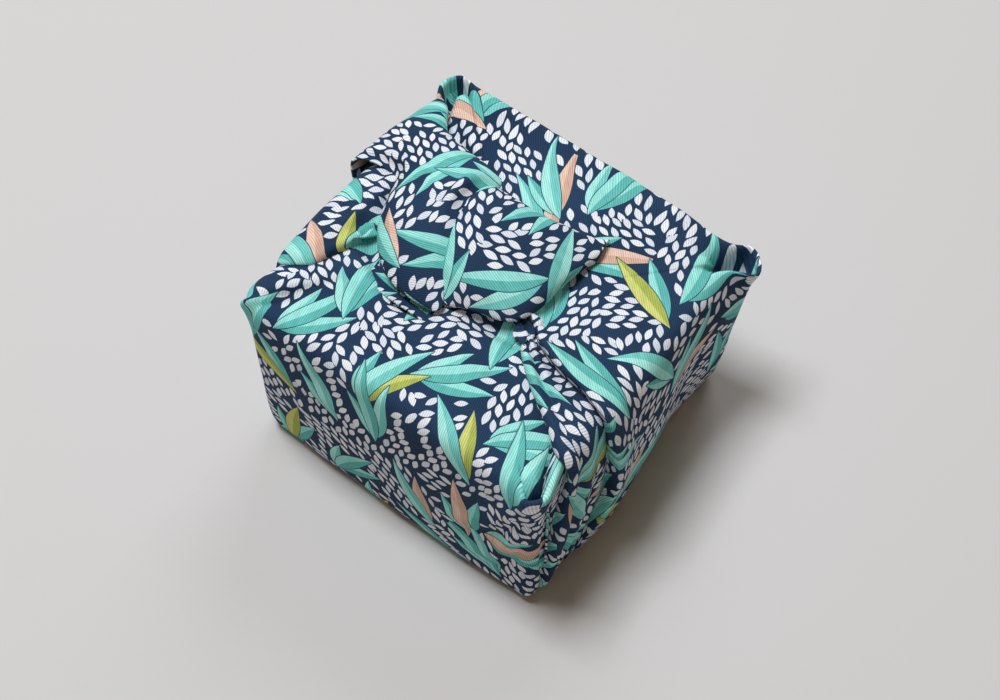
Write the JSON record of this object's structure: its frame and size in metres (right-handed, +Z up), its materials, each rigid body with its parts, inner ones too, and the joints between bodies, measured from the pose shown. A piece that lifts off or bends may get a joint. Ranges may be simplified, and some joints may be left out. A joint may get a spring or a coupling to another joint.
{
  "type": "furoshiki wrap",
  "caption": "Square printed cotton cloth folded round a low square box, with pleated corners and a broad two-lobed knot tied on top",
  "frame": {"origin": "centre of the overall outline, at the underside that rests on the surface", "axes": "+Z up; +X along the two strands, from the strand that carries the left lobe towards the pleated side; +Y from the smooth front panel towards the back panel"},
  "size_m": [0.143, 0.1288, 0.0917],
  "materials": {
    "printed_cotton": "fine ribbed cotton with a small leaf print in off-white, teal and peach on navy"
  },
  "bodies": {
    "root": {"furoshiki_cloth": "printed_cotton"}
  },
  "joints": []
}
